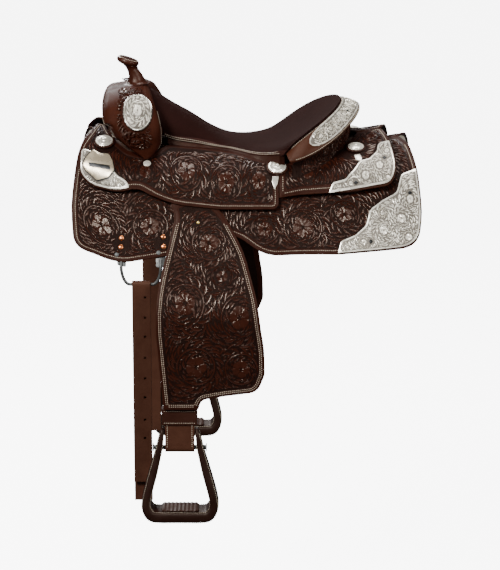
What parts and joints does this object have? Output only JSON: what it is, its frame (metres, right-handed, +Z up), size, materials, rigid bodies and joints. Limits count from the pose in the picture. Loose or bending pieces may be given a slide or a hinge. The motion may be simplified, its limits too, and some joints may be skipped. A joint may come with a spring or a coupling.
{
  "type": "western saddle",
  "caption": "Western riding saddle: horned fork, suede seat, carved leather skirts and jockeys with engraved silver corners, fenders with hanging stirrups, rigging rings and billets.",
  "frame": {"origin": "in the middle plane, on the horse's spine line, half way along the skirts", "axes": "+X towards the cantle (the horse faces -X), +Y towards the off (right) side, +Z up; the near (left) side is at -Y"},
  "size_m": [0.7063, 0.613, 0.9124],
  "materials": {
    "strap_leather": "matt brown strap leather with raw edges",
    "plain_leather": "smooth dark brown leather",
    "engraved_silver": "bright silver plate, engraved",
    "tooled_leather": "vegetable tanned leather, dyed very dark brown, carved with flowers and scrolls",
    "sheepskin": "woolly off-white sheepskin",
    "rigging_steel": "gunmetal steel",
    "seat_suede": "dark brown suede, matt and napped",
    "seat_foam": "closed-cell foam, hidden",
    "tree_wood": "bare wood, hidden"
  },
  "bodies": {
    "saddle": {"cantle_back": "plain_leather", "cantle_plate": "engraved_silver", "cantle_roll": "plain_leather", "concho_front_left": "engraved_silver", "concho_front_right": "engraved_silver", "concho_middle_left": "engraved_silver", "concho_middle_right": "engraved_silver", "concho_rear_left": "engraved_silver", "concho_rear_right": "engraved_silver", "fleece_left": "sheepskin", "fleece_right": "sheepskin", "front_plate_left": "engraved_silver", "front_plate_right": "engraved_silver", "ground_seat": "plain_leather", "horn_cap": "plain_leather", "horn_core": "rigging_steel", "horn_wrap": "plain_leather", "rear_jockey_left": "tooled_leather", "rear_jockey_plate_left": "engraved_silver", "rear_jockey_plate_right": "engraved_silver", "rear_jockey_right": "tooled_leather", "rigging_ring_left": "rigging_steel", "rigging_ring_right": "rigging_steel", "seat_cover": "seat_suede", "seat_jockey_left": "tooled_leather", "seat_jockey_right": "tooled_leather", "seat_pad": "seat_foam", "skirt_left": "tooled_leather", "skirt_plate_left": "engraved_silver", "skirt_plate_right": "engraved_silver", "skirt_right": "tooled_leather", "stirrup_leather_left": "strap_leather", "stirrup_leather_right": "strap_leather", "swell_cover": "tooled_leather", "swell_plate_left": "engraved_silver", "swell_plate_right": "engraved_silver", "tree_bar_left": "tree_wood", "tree_bar_right": "tree_wood", "tree_cantle": "tree_wood", "tree_fork": "tree_wood"},
    "billet_left": {"billet_left": "strap_leather"},
    "billet_right": {"billet_right": "strap_leather"},
    "hanger_left": {"fender_hanger_left": "tooled_leather"},
    "hanger_right": {"fender_hanger_right": "tooled_leather"},
    "fender_left": {"fender_left": "tooled_leather", "keeper_left": "tooled_leather", "stirrup_strap_left": "strap_leather"},
    "fender_right": {"fender_right": "tooled_leather", "keeper_right": "tooled_leather", "stirrup_strap_right": "strap_leather"},
    "stirrup_left": {"stirrup_bolt_left": "rigging_steel", "stirrup_frame_left": "plain_leather", "stirrup_tread_left": "plain_leather"},
    "stirrup_right": {"stirrup_bolt_right": "rigging_steel", "stirrup_frame_right": "plain_leather", "stirrup_tread_right": "plain_leather"}
  },
  "joints": [
    {"name": "fender_swing_left", "type": "hinge", "parent": "saddle", "child": "hanger_left", "pos_m": [-0.125, -0.178, -0.03603], "axis": [0, -0.8829, 0.4695], "range_deg": [-9, 9]},
    {"name": "fender_lift_left", "type": "hinge", "parent": "hanger_left", "child": "fender_left", "pos_m": [-0.125, -0.1962, -0.066], "axis": [-1, 0, 0], "range_deg": [0, 65]},
    {"name": "stirrup_swing_left", "type": "hinge", "parent": "fender_left", "child": "stirrup_left", "pos_m": [-0.1425, -0.2775, -0.5285], "axis": [1, 0, 0], "range_deg": [-22, 2.5]},
    {"name": "billet_swing_left", "type": "hinge", "parent": "saddle", "child": "billet_left", "pos_m": [-0.219, -0.23114, -0.19867], "axis": [1, 0, 0], "range_deg": [0, 28]},
    {"name": "fender_swing_right", "type": "hinge", "parent": "saddle", "child": "hanger_right", "pos_m": [-0.125, 0.178, -0.03603], "axis": [0, -0.8829, -0.4695], "range_deg": [-9, 9]},
    {"name": "fender_lift_right", "type": "hinge", "parent": "hanger_right", "child": "fender_right", "pos_m": [-0.125, 0.1962, -0.066], "axis": [1, 0, 0], "range_deg": [0, 65]},
    {"name": "stirrup_swing_right", "type": "hinge", "parent": "fender_right", "child": "stirrup_right", "pos_m": [-0.1425, 0.2775, -0.5285], "axis": [-1, 0, 0], "range_deg": [-22, 2.5]},
    {"name": "billet_swing_right", "type": "hinge", "parent": "saddle", "child": "billet_right", "pos_m": [-0.219, 0.23114, -0.19867], "axis": [-1, 0, 0], "range_deg": [0, 28]}
  ]
}
